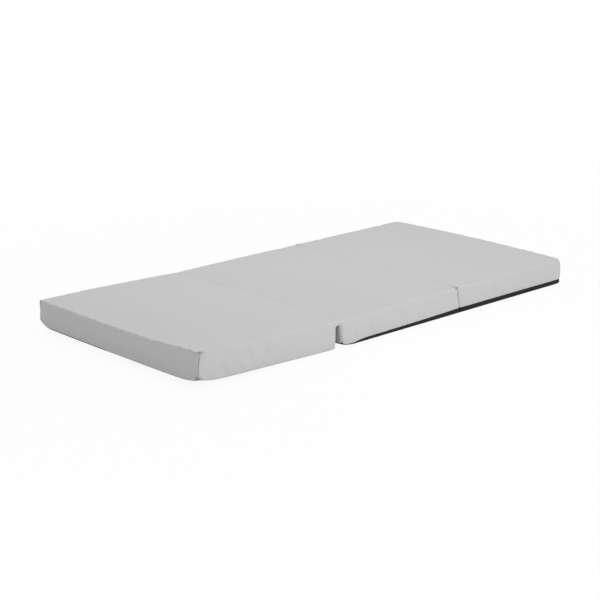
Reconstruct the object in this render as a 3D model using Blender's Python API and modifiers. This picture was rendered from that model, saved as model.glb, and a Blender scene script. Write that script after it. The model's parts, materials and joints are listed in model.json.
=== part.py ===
"""Folding mattress for a camping bed: three foam blocks in one sewn cover.

Metres, +Z up. X runs along the bed from the head section to the foot section, and the front
long side faces -Y. The origin is under the middle of the mattress, on the floor.
"""

import math

import bmesh
import bpy

# Whole mattress
LENGTH = 1.200
WIDTH = 0.600
THICKNESS = 0.065
CROWN = 0.003
END_BULGE = 0.006
DRAW_IN = 0.0015
HEAD_LIFT = 0.012

# Folds between the sections
HEAD_GAP = 0.0125
FOOT_GAP = 0.003
FOLD_CLEARANCE = 0.0006

# Edges of a section
EDGE_RADIUS = 0.005
OPEN_FOLD_RADIUS = 0.009
HINGE_EDGE_RADIUS = 0.002
EDGE_SEGMENTS = 3

# Sewn cover
FABRIC = 0.0012
SEAM_GAP = 0.0004
FOAM_CLEARANCE = 0.0004
TOP_SEAM_DROP = 0.0015
PLAIN_WRAP = 0.0015
FOOT_FOLD_WRAP = 0.014
FOOT_END_WRAP = 0.013

# Cage of a section: loops as shares of its half length, half width and height
ALONG_SHARES = (-0.84, -0.45, 0.0, 0.45, 0.84)
ACROSS_SHARES = (-0.88, -0.5, 0.0, 0.5, 0.88)
HEIGHT_SHARES = (0.28, 0.72)
CROWN_POWER = 4

# Zip in the back border of each section
ZIP_END_MARGIN = 0.033
CHAIN_HEIGHT = 0.005
CHAIN_PROUD = 0.0012
CHAIN_EDGE = 0.0004
TAPE_HEIGHT = 0.006
ZIP_CLEARANCE = 0.0003
SLIDER_INSET = 0.006

SLIDER_LENGTH = 0.010
SLIDER_HEIGHT = 0.0086
SLIDER_PLATE = 0.0010
SLIDER_EDGE = 0.0005
BRIDGE_WALL = 0.0009
BRIDGE_WIDTH = 0.0022

PULL_LENGTH = 0.024
PULL_WIDTH = 0.0062
PULL_THICKNESS = 0.0010
PULL_EDGE = 0.0003
PULL_WINDOW_WIDTH = 0.0036
PULL_WINDOW_MARGIN = 0.0008

# Cutters
OVERRUN = 0.030
BORDER_CUT_DEPTH = 0.025

# Colours, linear
LIGHT_GREY = (0.565, 0.565, 0.570, 1.0)
NEAR_BLACK = (0.013, 0.012, 0.011, 1.0)
FOAM_WHITE = (0.80, 0.77, 0.66, 1.0)
TAPE_GREY = (0.36, 0.36, 0.37, 1.0)
CHAIN_GREY = (0.33, 0.33, 0.34, 1.0)
ZIP_METAL = (0.55, 0.55, 0.56, 1.0)

# Places that follow from the sizes
SECTION_LENGTH = (LENGTH - HEAD_GAP - FOOT_GAP) / 3
HALF_WIDTH = WIDTH / 2
TOP_SEAM = THICKNESS - TOP_SEAM_DROP
HEAD_FOLD_X = -LENGTH / 2 + SECTION_LENGTH + HEAD_GAP / 2
HEAD_FOLD_Z = THICKNESS + CROWN + FOLD_CLEARANCE
FOOT_FOLD_X = LENGTH / 2 - SECTION_LENGTH - FOOT_GAP / 2
FOOT_FOLD_Z = -FOLD_CLEARANCE
HEAD_PITCH = math.asin(HEAD_LIFT / (SECTION_LENGTH + HEAD_GAP / 2))
FOAM_INSET = FABRIC + FOAM_CLEARANCE
MITRE_SHIFT = SEAM_GAP / math.sqrt(2)

ZIP_LENGTH = SECTION_LENGTH - 2 * ZIP_END_MARGIN
ZIP_MIDDLE_Z = THICKNESS / 2
TAPE_REACH = CHAIN_HEIGHT / 2 + ZIP_CLEARANCE + TAPE_HEIGHT
PLATE_UNDER = HALF_WIDTH + CHAIN_PROUD + ZIP_CLEARANCE
PLATE_TOP = PLATE_UNDER + SLIDER_PLATE
BAR_REACH = PULL_THICKNESS / math.sqrt(2) + ZIP_CLEARANCE
PULL_AXIS_Y = PLATE_TOP + BAR_REACH
BRIDGE_REACH = BAR_REACH + BRIDGE_WALL
SLIDER_TRAVEL = ZIP_LENGTH - 2 * SLIDER_INSET - SLIDER_LENGTH


class Section:
    """One foam block and its cover: its reach along X, and what each end of it is."""

    def __init__(self, name, low_x, low_side, high_side, low_wrap, high_wrap):
        self.name = name
        self.low_x = low_x
        self.high_x = low_x + SECTION_LENGTH
        self.low_side = low_side
        self.high_side = high_side
        self.low_wrap = low_wrap
        self.high_wrap = high_wrap

    def middle_x(self):
        return (self.low_x + self.high_x) / 2

    def corner_x(self, sign):
        """Where the upright corner edges stand: drawn in from a free end, on the line at a fold."""
        side = self.low_side if sign < 0 else self.high_side
        reach = self.low_x if sign < 0 else self.high_x
        return reach - sign * (END_BULGE + DRAW_IN) if side == "end" else reach

    def wrap_at(self, x):
        """Height of the seam between the border and the underside panel."""
        share = (x - self.low_x) / (self.high_x - self.low_x)
        return self.low_wrap + share * (self.high_wrap - self.low_wrap)

    def radius_of(self, side, is_top):
        """Radius of the edge across the mattress, at one end of the section, top or bottom."""
        if side == "end":
            return EDGE_RADIUS
        hinge_is_here = is_top == (side == "head_fold")
        return HINGE_EDGE_RADIUS if hinge_is_here else OPEN_FOLD_RADIUS


def clear_scene():
    for item in list(bpy.data.objects):
        bpy.data.objects.remove(item, do_unlink=True)


def make_collection(name):
    collection = bpy.data.collections.new(name)
    bpy.context.scene.collection.children.link(collection)
    return collection


def make_material(name, colour, roughness, metallic=0.0):
    material = bpy.data.materials.new(name)
    material.use_nodes = True
    shader = material.node_tree.nodes["Principled BSDF"]
    shader.inputs["Base Color"].default_value = colour
    shader.inputs["Roughness"].default_value = roughness
    shader.inputs["Metallic"].default_value = metallic
    material.diffuse_color = colour
    return material


def add_empty(name, place, parent=None):
    """An empty on a joint's axis. Its children keep the places they are given in the flat pose."""
    empty = bpy.data.objects.new(name, None)
    parts.objects.link(empty)
    empty.location = place
    empty.parent = parent
    if parent:
        empty.location = [a - b for a, b in zip(place, flat_places[parent.name])]
    flat_places[name] = place
    return empty


def add_mesh(name, mesh, parent, collection, material=None):
    """An object whose mesh is given in the flat pose, hung on a body's empty."""
    item = bpy.data.objects.new(name, mesh)
    collection.objects.link(item)
    item.parent = parent
    item.location = [-place for place in flat_places[parent.name]]
    if material:
        mesh.materials.append(material)
    return item


def add_cutter(name, outline, low, high, parent):
    """A four-sided cutter: its corners in plan, and its heights as functions of x."""
    mesh = bpy.data.meshes.new(name)
    form = bmesh.new()
    bmesh.ops.create_cube(form, size=2)
    for corner in form.verts:
        right = corner.co.x > 0
        back = corner.co.y > 0
        x, y = outline[2 + right if back else int(right)]
        corner.co = (x, y, high(x) if corner.co.z > 0 else low(x))
    form.to_mesh(mesh)
    form.free()
    cutter = add_mesh(name, mesh, parent, cutters)
    cutter.hide_render = True
    cutter.display_type = "WIRE"
    return cutter


def box_cutter(name, lows, highs, parent):
    outline = [(lows[0], lows[1]), (highs[0], lows[1]), (lows[0], highs[1]), (highs[0], highs[1])]
    return add_cutter(name, outline, lambda x: lows[2], lambda x: highs[2], parent)


def add_boolean(item, cutter, operation):
    cut = item.modifiers.new(cutter.name, "BOOLEAN")
    cut.operation = operation
    cut.solver = "EXACT"
    cut.object = cutter
    return cut


def block_mesh(section, name, inset):
    """The cage of one section: a box cut into loops, crowned on top, with bellied sides."""
    low = [section.corner_x(-1) + inset, -HALF_WIDTH + DRAW_IN + inset, inset]
    high = [section.corner_x(1) - inset, HALF_WIDTH - DRAW_IN - inset, THICKNESS - inset]
    centre = [(a + b) / 2 for a, b in zip(low, high)]
    half = [(b - a) / 2 for a, b in zip(low, high)]
    form = bmesh.new()
    bmesh.ops.create_cube(form, size=2)
    for corner in form.verts:
        corner.co = [c + h * step for c, h, step in zip(centre, half, corner.co)]
    planes = [(0, centre[0] + share * half[0]) for share in ALONG_SHARES]
    planes += [(1, centre[1] + share * half[1]) for share in ACROSS_SHARES]
    planes += [(2, low[2] + share * 2 * half[2]) for share in HEIGHT_SHARES]
    for axis, place in planes:
        point = [0, 0, 0]
        point[axis] = place
        normal = [0, 0, 0]
        normal[axis] = 1
        geometry = form.verts[:] + form.edges[:] + form.faces[:]
        bmesh.ops.bisect_plane(form, geom=geometry, plane_co=point, plane_no=normal)
    weigh_edges(section, form, centre, half, inset)
    for corner in form.verts:
        shape_point(section, corner, centre, half)
    mesh = bpy.data.meshes.new(name)
    form.to_mesh(mesh)
    form.free()
    return mesh


def weigh_edges(section, form, centre, half, inset):
    """Gives each edge of the box its share of the widest rounding."""
    layer = form.edges.layers.float.new("bevel_weight_edge")
    for edge in form.edges:
        signs = []
        for axis in range(3):
            spots = [(corner.co[axis] - centre[axis]) / half[axis] for corner in edge.verts]
            same = abs(spots[0] - spots[1]) < 1e-4 and abs(spots[0]) > 0.999
            signs.append(round(spots[0]) if same else 0)
        if sum(abs(sign) for sign in signs) != 2:
            continue
        radius = EDGE_RADIUS
        if signs[0] and signs[2]:
            side = section.low_side if signs[0] < 0 else section.high_side
            radius = section.radius_of(side, signs[2] > 0)
        edge[layer] = max(radius - inset, 0) / OPEN_FOLD_RADIUS


def shape_point(section, corner, centre, half):
    """Moves one point of the box: up with the crown, or out with the belly of its side."""
    spots = [(corner.co[axis] - centre[axis]) / half[axis] for axis in range(3)]
    along = 1 - abs(spots[0]) ** CROWN_POWER
    across = 1 - abs(spots[1]) ** CROWN_POWER
    is_belly = abs(spots[2]) < 0.999
    if spots[2] > 0.999:
        corner.co.z += CROWN * along * across
    if abs(spots[1]) > 0.999 and is_belly:
        corner.co.y += math.copysign(DRAW_IN * along, spots[1])
    side = section.low_side if spots[0] < 0 else section.high_side
    if abs(spots[0]) > 0.999 and side == "end":
        bulge = END_BULGE * (1 - spots[1] ** 2) + (DRAW_IN * across if is_belly else 0)
        corner.co.x += math.copysign(bulge, spots[0])


def add_rounding(item):
    bevel = item.modifiers.new("rounded edges", "BEVEL")
    bevel.limit_method = "WEIGHT"
    bevel.width = OPEN_FOLD_RADIUS
    bevel.segments = EDGE_SEGMENTS
    bevel.use_clamp_overlap = True
    return bevel


def add_fabric(item):
    wall = item.modifiers.new("fabric", "SOLIDIFY")
    wall.thickness = FABRIC
    wall.offset = -1
    wall.use_even_offset = True
    return wall


def add_panel(section, name, cutter, body, material):
    """One sewn piece of a section's cover: the closed cover cut down to that piece."""
    mesh = block_mesh(section, name, 0)
    panel = add_mesh(name, mesh, body, parts, material)
    add_rounding(panel)
    add_fabric(panel)
    add_boolean(panel, cutter, "INTERSECT")
    return panel


def border_outlines(section):
    """In plan, the region that each of the four borders is cut from, mitred at the corners."""
    low_x = section.corner_x(-1)
    high_x = section.corner_x(1)
    edge_y = HALF_WIDTH - DRAW_IN
    out = OVERRUN
    deep = BORDER_CUT_DEPTH
    shift = MITRE_SHIFT
    return {
        "front": [
            (low_x - out + shift, -edge_y - out),
            (high_x + out - shift, -edge_y - out),
            (low_x + deep + shift, -edge_y + deep),
            (high_x - deep - shift, -edge_y + deep),
        ],
        "back": [
            (low_x + deep + shift, edge_y - deep),
            (high_x - deep - shift, edge_y - deep),
            (low_x - out + shift, edge_y + out),
            (high_x + out - shift, edge_y + out),
        ],
        "low": [
            (low_x - out, -edge_y - out + shift),
            (low_x + deep, -edge_y + deep + shift),
            (low_x - out, edge_y + out - shift),
            (low_x + deep, edge_y - deep - shift),
        ],
        "high": [
            (high_x - deep, -edge_y + deep + shift),
            (high_x + out, -edge_y - out + shift),
            (high_x - deep, edge_y - deep - shift),
            (high_x + out, edge_y + out - shift),
        ],
    }


def side_name(section, side):
    """A border is named after its end, and a middle section's two folds are told apart."""
    if side == "end":
        return "end_border"
    return side + "_border" if section.name == "middle" else "fold_border"


def add_cover(section, body):
    """The top, underside and four border pieces of one section."""
    name = section.name
    low_x = section.low_x - OVERRUN
    high_x = section.high_x + OVERRUN
    side_y = HALF_WIDTH + OVERRUN
    half_gap = SEAM_GAP / 2
    plan = [(low_x, -side_y), (high_x, -side_y), (low_x, side_y), (high_x, side_y)]
    over_seam = add_cutter(
        name + "_over_top_seam",
        plan,
        lambda x: TOP_SEAM + half_gap,
        lambda x: THICKNESS + OVERRUN,
        body,
    )
    under_seam = add_cutter(
        name + "_under_bottom_seam",
        plan,
        lambda x: -OVERRUN,
        lambda x: section.wrap_at(x) - half_gap,
        body,
    )
    add_panel(section, name + "_top_panel", over_seam, body, grey_fabric)
    add_panel(section, name + "_underside_panel", under_seam, body, black_fabric)
    names = {
        "front": "front_border",
        "back": "back_border",
        "low": side_name(section, section.low_side),
        "high": side_name(section, section.high_side),
    }
    borders = {}
    for key, outline in border_outlines(section).items():
        between = add_cutter(
            name + "_" + names[key] + "_cut",
            outline,
            lambda x: section.wrap_at(x) + half_gap,
            lambda x: TOP_SEAM - half_gap,
            body,
        )
        border_name = name + "_" + names[key]
        borders[key] = add_panel(section, border_name, between, body, grey_fabric)
    return borders


def add_foam(section, body):
    name = section.name + "_foam_core"
    mesh = block_mesh(section, name, FOAM_INSET)
    core = add_mesh(name, mesh, body, parts, foam)
    add_rounding(core)
    return core


def beveled_box(name, lows, highs, edge, parent, material):
    mesh = bpy.data.meshes.new(name)
    form = bmesh.new()
    bmesh.ops.create_cube(form, size=1)
    for corner in form.verts:
        corner.co = [
            (low + high) / 2 + (high - low) * step
            for low, high, step in zip(lows, highs, corner.co)
        ]
    form.to_mesh(mesh)
    form.free()
    item = add_mesh(name, mesh, parent, parts, material)
    bevel = item.modifiers.new("edges", "BEVEL")
    bevel.width = edge
    bevel.segments = 2
    bevel.limit_method = "ANGLE"
    return item


def add_zip(section, body, border):
    """Two tapes and a chain in a slot of the back border, a slider on the chain and its pull."""
    name = section.name + "_zip"
    middle_x = section.middle_x()
    low_x = middle_x - ZIP_LENGTH / 2
    high_x = middle_x + ZIP_LENGTH / 2
    inner_y = HALF_WIDTH - BORDER_CUT_DEPTH
    outer_y = HALF_WIDTH + OVERRUN
    chain_reach = CHAIN_HEIGHT / 2

    slot_low = (low_x - SEAM_GAP, inner_y, ZIP_MIDDLE_Z - TAPE_REACH - SEAM_GAP)
    slot_high = (high_x + SEAM_GAP, outer_y, ZIP_MIDDLE_Z + TAPE_REACH + SEAM_GAP)
    slot = box_cutter(name + "_slot", slot_low, slot_high, body)
    add_boolean(border, slot, "DIFFERENCE")

    for place, sign in (("upper", 1), ("lower", -1)):
        near = ZIP_MIDDLE_Z + sign * (chain_reach + ZIP_CLEARANCE)
        far = ZIP_MIDDLE_Z + sign * TAPE_REACH
        low = (low_x, inner_y, min(near, far))
        high = (high_x, outer_y, max(near, far))
        tape_cut = box_cutter(name + "_" + place + "_tape_cut", low, high, body)
        add_panel(section, name + "_" + place + "_tape", tape_cut, body, zip_tape)

    chain_low = (low_x, HALF_WIDTH - FABRIC, ZIP_MIDDLE_Z - chain_reach)
    chain_high = (high_x, HALF_WIDTH + CHAIN_PROUD, ZIP_MIDDLE_Z + chain_reach)
    beveled_box(name + "_chain", chain_low, chain_high, CHAIN_EDGE, body, zip_chain)

    slider_x = low_x + SLIDER_INSET + SLIDER_LENGTH / 2
    slider_body = add_empty(name + "_slider_body", (slider_x, HALF_WIDTH, ZIP_MIDDLE_Z), body)
    add_slider(name, slider_x, slider_body)
    pull_place = (slider_x, PULL_AXIS_Y, ZIP_MIDDLE_Z)
    pull_body = add_empty(name + "_pull_body", pull_place, slider_body)
    add_pull(name, slider_x, pull_body)


def add_slider(name, x, parent):
    """A plate with two rails that straddle the chain, and a bridge that holds the pull."""
    half_length = SLIDER_LENGTH / 2
    half_height = SLIDER_HEIGHT / 2
    low = (x - half_length, HALF_WIDTH + ZIP_CLEARANCE, ZIP_MIDDLE_Z - half_height)
    high = (x + half_length, PLATE_TOP, ZIP_MIDDLE_Z + half_height)
    slider = beveled_box(name + "_slider", low, high, SLIDER_EDGE, parent, zip_metal)

    channel_half = CHAIN_HEIGHT / 2 + ZIP_CLEARANCE
    channel = box_cutter(
        name + "_slider_channel",
        (x - OVERRUN, HALF_WIDTH - OVERRUN, ZIP_MIDDLE_Z - channel_half),
        (x + OVERRUN, PLATE_UNDER, ZIP_MIDDLE_Z + channel_half),
        parent,
    )
    bridge = box_cutter(
        name + "_slider_bridge",
        (x - BRIDGE_REACH, PLATE_TOP - SLIDER_PLATE / 2, ZIP_MIDDLE_Z - BRIDGE_WIDTH / 2),
        (x + BRIDGE_REACH, PULL_AXIS_Y + BRIDGE_REACH, ZIP_MIDDLE_Z + BRIDGE_WIDTH / 2),
        parent,
    )
    eye = box_cutter(
        name + "_slider_eye",
        (x - BAR_REACH, PLATE_TOP, ZIP_MIDDLE_Z - OVERRUN),
        (x + BAR_REACH, PULL_AXIS_Y + BAR_REACH, ZIP_MIDDLE_Z + OVERRUN),
        parent,
    )
    add_boolean(slider, channel, "DIFFERENCE")
    add_boolean(slider, bridge, "UNION")
    add_boolean(slider, eye, "DIFFERENCE")
    return slider


def add_pull(name, x, parent):
    """A flat tab with a window at its root: the bar past the window turns under the bridge."""
    half_bar = PULL_THICKNESS / 2
    half_width = PULL_WIDTH / 2
    low = (x - half_bar, PULL_AXIS_Y - half_bar, ZIP_MIDDLE_Z - half_width)
    high = (x + PULL_LENGTH, PULL_AXIS_Y + half_bar, ZIP_MIDDLE_Z + half_width)
    pull = beveled_box(name + "_pull", low, high, PULL_EDGE, parent, zip_metal)
    window_end = x + BRIDGE_REACH + PULL_WINDOW_MARGIN
    window = box_cutter(
        name + "_pull_window",
        (x + half_bar, PULL_AXIS_Y - OVERRUN, ZIP_MIDDLE_Z - PULL_WINDOW_WIDTH / 2),
        (window_end, PULL_AXIS_Y + OVERRUN, ZIP_MIDDLE_Z + PULL_WINDOW_WIDTH / 2),
        parent,
    )
    add_boolean(pull, window, "DIFFERENCE")
    return pull


def add_fold_strip(name, low_x, high_x, is_top, body, material):
    """The cover's fabric where it crosses a fold, with its rolled or wrapped side edges."""
    low = [low_x + SEAM_GAP, -HALF_WIDTH + DRAW_IN, 0]
    high = [high_x - SEAM_GAP, HALF_WIDTH - DRAW_IN, THICKNESS]
    mesh = bpy.data.meshes.new(name)
    form = bmesh.new()
    bmesh.ops.create_cube(form, size=1)
    for corner in form.verts:
        corner.co = [(a + b) / 2 + (b - a) * step for a, b, step in zip(low, high, corner.co)]
    form.normal_update()
    long_edges = [
        edge
        for edge in form.edges
        if all(abs(face.normal.x) < 0.5 for face in edge.link_faces)
    ]
    bmesh.ops.bevel(
        form,
        geom=long_edges,
        offset=EDGE_RADIUS,
        segments=EDGE_SEGMENTS,
        profile=0.5,
        affect="EDGES",
    )
    form.normal_update()
    caps = [face for face in form.faces if abs(face.normal.x) > 0.9]
    bmesh.ops.delete(form, geom=caps, context="FACES")
    form.to_mesh(mesh)
    form.free()
    strip = add_mesh(name, mesh, body, parts, material)
    add_fabric(strip)
    side_y = HALF_WIDTH + OVERRUN
    if is_top:
        heights = (TOP_SEAM - EDGE_RADIUS, THICKNESS + OVERRUN)
    else:
        heights = (-OVERRUN, FOOT_FOLD_WRAP)
    lows = (low_x - OVERRUN, -side_y, heights[0])
    highs = (high_x + OVERRUN, side_y, heights[1])
    keep = box_cutter(name + "_keep", lows, highs, body)
    add_boolean(strip, keep, "INTERSECT")
    return strip


def report_joints():
    """Prints each joint's place and direction in the stored pose."""
    bpy.context.view_layer.update()
    for empty in parts.objects:
        if empty.type == "EMPTY":
            place = [round(value, 6) for value in empty.matrix_world.translation]
            along = [round(value, 6) for value in empty.matrix_world.col[0][:3]]
            up = [round(value, 6) for value in empty.matrix_world.col[2][:3]]
            print(empty.name, "at", place, "x", along, "z", up)
    print("head section pitched up by", round(math.degrees(HEAD_PITCH), 4), "degrees")
    print("slider travel", round(SLIDER_TRAVEL, 6))


clear_scene()
parts = make_collection("camping_bed_mattress")
cutters = make_collection("cutters")
flat_places = {}

grey_fabric = make_material("light_grey_fabric", LIGHT_GREY, 0.85)
black_fabric = make_material("black_underside_fabric", NEAR_BLACK, 0.9)
foam = make_material("foam", FOAM_WHITE, 0.95)
zip_tape = make_material("zip_tape_grey", TAPE_GREY, 0.8)
zip_chain = make_material("zip_chain_grey", CHAIN_GREY, 0.5)
zip_metal = make_material("zip_metal", ZIP_METAL, 0.4, 1.0)

middle_low_x = HEAD_FOLD_X + HEAD_GAP / 2
foot_low_x = FOOT_FOLD_X + FOOT_GAP / 2
sections = [
    Section("head", -LENGTH / 2, "end", "head_fold", PLAIN_WRAP, PLAIN_WRAP),
    Section("middle", middle_low_x, "head_fold", "foot_fold", PLAIN_WRAP, FOOT_FOLD_WRAP),
    Section("foot", foot_low_x, "foot_fold", "end", FOOT_FOLD_WRAP, FOOT_END_WRAP),
]

middle_body = add_empty("middle_body", (0, 0, 0))
head_body = add_empty("head_body", (HEAD_FOLD_X, 0, HEAD_FOLD_Z), middle_body)
foot_body = add_empty("foot_body", (FOOT_FOLD_X, 0, FOOT_FOLD_Z), middle_body)
section_bodies = {"head": head_body, "middle": middle_body, "foot": foot_body}

for section in sections:
    section_body = section_bodies[section.name]
    add_foam(section, section_body)
    section_borders = add_cover(section, section_body)
    add_zip(section, section_body, section_borders["back"])

add_fold_strip(
    "top_fold_strip", HEAD_FOLD_X - HEAD_GAP / 2, middle_low_x, True, middle_body, grey_fabric
)
add_fold_strip(
    "underside_fold_strip",
    FOOT_FOLD_X - FOOT_GAP / 2,
    foot_low_x,
    False,
    middle_body,
    black_fabric,
)

# The head section lies a little raised, as it was left when the mattress was unfolded.
head_body.rotation_euler.y = HEAD_PITCH
report_joints()
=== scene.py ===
# %% [markdown]
# # A folding mattress for a camping bed
#
# Three foam sections lie end to end in one sewn cover, light grey above and black below. The top
# fabric runs on over the fold between the head and middle sections, and the black underside runs
# on under the fold between the middle and foot sections, so the mattress closes in a Z.
#
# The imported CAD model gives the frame: where each section is, and what it turns about. This
# script adds what a rigid model can't show: filled-out cloth, puckered seams, a slot that opens
# when the mattress folds, zips with teeth, stitches and woven materials. All of it is in metres,
# +X runs from the head end to the foot end, and the front long side faces -Y.

import json
import math

import bmesh
import bpy
import numpy as np
from mathutils import Matrix, Vector
from mathutils.bvhtree import BVHTree
from mathutils.kdtree import KDTree


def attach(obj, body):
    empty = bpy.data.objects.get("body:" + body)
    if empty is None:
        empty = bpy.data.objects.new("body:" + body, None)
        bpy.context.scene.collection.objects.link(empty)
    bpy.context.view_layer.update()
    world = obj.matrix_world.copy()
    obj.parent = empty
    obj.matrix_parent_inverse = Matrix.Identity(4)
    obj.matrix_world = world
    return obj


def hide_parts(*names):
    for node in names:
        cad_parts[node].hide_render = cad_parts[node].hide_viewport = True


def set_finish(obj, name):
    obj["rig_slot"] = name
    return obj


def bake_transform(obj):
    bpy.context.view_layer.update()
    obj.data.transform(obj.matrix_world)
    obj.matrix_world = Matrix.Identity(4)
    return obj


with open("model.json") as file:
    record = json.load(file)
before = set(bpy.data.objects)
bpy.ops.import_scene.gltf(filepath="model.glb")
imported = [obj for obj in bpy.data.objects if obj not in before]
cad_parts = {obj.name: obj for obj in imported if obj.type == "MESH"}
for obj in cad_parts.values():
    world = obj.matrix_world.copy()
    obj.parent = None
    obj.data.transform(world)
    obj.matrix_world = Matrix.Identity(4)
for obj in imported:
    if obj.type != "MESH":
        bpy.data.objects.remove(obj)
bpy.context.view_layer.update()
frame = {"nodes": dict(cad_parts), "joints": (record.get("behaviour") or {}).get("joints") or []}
joints = {joint["name"]: joint for joint in frame["joints"]}

# %% [markdown]
# ## Sizes
#
# A mattress is described by a few lengths: the block of foam, the two gaps at the folds, and how
# round each edge is. They repeat the part's own named sizes. The head section was left a little
# raised when the mattress was unfolded, and the fold's lower limit says by how much, so it is
# read from the joint and not repeated.

# %% Sizes of the mattress
LENGTH = 1.200
WIDTH = 0.600
THICKNESS = 0.065
CROWN = 0.003
END_BULGE = 0.006
BELLY = 0.0015
HEAD_GAP = 0.0125
FOOT_GAP = 0.003
EDGE_RADIUS = 0.005
SECTION_LENGTH = (LENGTH - HEAD_GAP - FOOT_GAP) / 3
EDGE_Y = WIDTH / 2 - BELLY

FIRST_WRAP = 0.0012
FOLD_WRAP = 0.014
FOOT_WRAP = 0.013

ZIP_END_MARGIN = 0.033
ZIP_HALF_HEIGHT = 0.0088
ZIP_Z = THICKNESS / 2

HEAD_HINGE = Vector(joints["head_fold"]["pos_m"])
HEAD_PITCH = -math.radians(joints["head_fold"]["range_deg"][0])
FOLD_LIMIT_Z = HEAD_HINGE.z - 0.0004
print("each section is", round(SECTION_LENGTH, 4), "m long; head pitch", round(HEAD_PITCH, 5))

# %% [markdown]
# ## The three sections
#
# Each section knows where it lies, what each of its two ends is, and how far the black underside
# is wrapped up its sides. Later on it is given its skin, too. An end is rounded by three radii,
# at the bottom, at mid-height and at the top: at a hinge line the cloth runs straight on, so that
# radius is almost nothing, and the two walls of the head fold differ because one block of foam
# fills its cover better.

# %% Section table
HINGE_RADIUS = 0.0004
END_RADII = {
    "end": (0.003, 0.005, 0.003),
    "head_fold_tight": (0.004, 0.0025, HINGE_RADIUS),
    "head_fold_round": (0.009, 0.009, HINGE_RADIUS),
    "foot_fold": (HINGE_RADIUS, 0.0042, 0.0007),
}


def make_section(name, low, kinds, wraps, steep_share=0.0):
    """One section: its corner lines along X, the kind of each end, and the wrap at each end."""
    draw_in = {"end": END_BULGE + BELLY}
    return {
        "name": name,
        "body": name + "_section",
        "low": low + draw_in.get(kinds[0], 0),
        "high": low + SECTION_LENGTH - draw_in.get(kinds[1], 0),
        "kinds": kinds,
        "wraps": wraps,
        "steep_share": steep_share,
        "zip": (low + ZIP_END_MARGIN, low + SECTION_LENGTH - ZIP_END_MARGIN),
    }


middle_low = -LENGTH / 2 + SECTION_LENGTH + HEAD_GAP
foot_low = LENGTH / 2 - SECTION_LENGTH
head = make_section("head", -LENGTH / 2, ("end", "head_fold_tight"), (0, 0))
middle = make_section(
    "middle", middle_low, ("head_fold_round", "foot_fold"), (FIRST_WRAP, FOLD_WRAP), 0.62
)
foot = make_section("foot", foot_low, ("foot_fold", "end"), (FOLD_WRAP, FOOT_WRAP))
SECTIONS = [head, middle, foot]
for section in SECTIONS:
    print(section["name"], "from", round(section["low"], 4), "to", round(section["high"], 4))

# %% [markdown]
# ## Rows of the skin
#
# The cover of a section could be remeshed from the CAD solids, but then its seams would be lost.
# Instead the skin is laid out like cloth on a block: rows of points along, across and up the
# block, closer together near the edges, where the cloth turns and puckers. A seam is then a row
# of points, and each sewn panel is a set of whole faces.

# %% Rows of points
ARC_STEPS = (math.tan(math.pi / 12), math.tan(math.pi / 6))
FINE_STEP = 0.004
LONG_STEP = 0.0065
CROSS_STEP = 0.005
EDGE_BAND = 0.024
WRAP_SHARES = (0.2, 0.4, 0.6, 0.8)
RISE_SHARES = (0.06, 0.13, 0.21, 0.31, 0.45, 0.62, 0.80, 1.0)
ZIP_ROWS = (-ZIP_HALF_HEIGHT, -0.0058, -0.0028, 0, 0.0028, 0.0058, ZIP_HALF_HEIGHT, 0.0135)
BELOW_ZIP = 0.0045
TOP_ROWS = (0.0125, 0.0085, EDGE_RADIUS)


def ramp(value):
    """Smooth step from 0 to 1."""
    value = np.clip(value, 0, 1)
    return value * value * (3 - 2 * value)


def even(low, high, step):
    """Places from low to high, both left out, about a step apart."""
    count = max(1, round((high - low) / step))
    return [low + (high - low) * i / count for i in range(1, count)]


def rows_across():
    """Places across the block: an arc's rows at both edges, then fine and coarse rows."""
    inner = EDGE_Y - EDGE_RADIUS
    arc = [EDGE_Y] + [EDGE_Y - EDGE_RADIUS * (1 - step) for step in reversed(ARC_STEPS)]
    near = [inner] + even(inner - EDGE_BAND, inner, FINE_STEP)[::-1] + [inner - EDGE_BAND]
    side = arc + near
    centre = even(-(inner - EDGE_BAND), inner - EDGE_BAND, CROSS_STEP)
    return [-place for place in side] + centre + side[::-1]


def rows_up():
    """Side rows above the wrap: (share, height) pairs. A share is of the way to the height."""
    first = ZIP_Z - ZIP_HALF_HEIGHT - BELOW_ZIP
    heights = [ZIP_Z + place for place in ZIP_ROWS] + [THICKNESS - depth for depth in TOP_ROWS]
    heights += [THICKNESS - EDGE_RADIUS * (1 - step) for step in ARC_STEPS]
    return [(share, first) for share in RISE_SHARES] + [(1.0, height) for height in heights]


TURN_UNDER = len(ARC_STEPS) + 1
ROWS_Y = rows_across()
ROWS_UP = rows_up()
print(len(ROWS_Y), "rows across,", len(ROWS_UP) + 2, "up each side")

# %% [markdown]
# ## From rows to a skin
#
# A loop of points goes once round the block, and is repeated at stations along it. At an end the
# loop shrinks along a quarter circle, whose radius changes from the bottom to the top, and a
# sheet of points closes it. Every face carries the name of the panel it belongs to.

# %% Helpers for one loop
STEEP_REACH = 0.22
LOW_BLEND_SHARE = 0.30
HIGH_BLEND_SHARE = 0.75


def wrap_height(section, share):
    """Height of the black cloth's edge at a share of the section's length."""
    first, last = section["wraps"]
    steep = section["steep_share"]
    return first + (last - first) * (steep * ramp(share / STEEP_REACH) + (1 - steep) * share**2)


def side_heights(section, share):
    """Heights of the side rows at a share of the section's length, from bottom to top."""
    wrap = wrap_height(section, share)
    below = [0.0] + ([wrap * part for part in WRAP_SHARES] + [wrap] if wrap else [])
    above = [wrap + part * (height - wrap) if part < 1 else height for part, height in ROWS_UP]
    return below + above + [THICKNESS]


def loop_of(count_y, count_z):
    """Column and row of each point round the block: bottom, back side, top, front side."""
    loop = [(j, 0) for j in range(count_y)]
    loop += [(count_y - 1, k) for k in range(1, count_z)]
    loop += [(j, count_z - 1) for j in range(count_y - 2, -1, -1)]
    loop += [(0, k) for k in range(count_z - 2, 0, -1)]
    return loop


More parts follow.
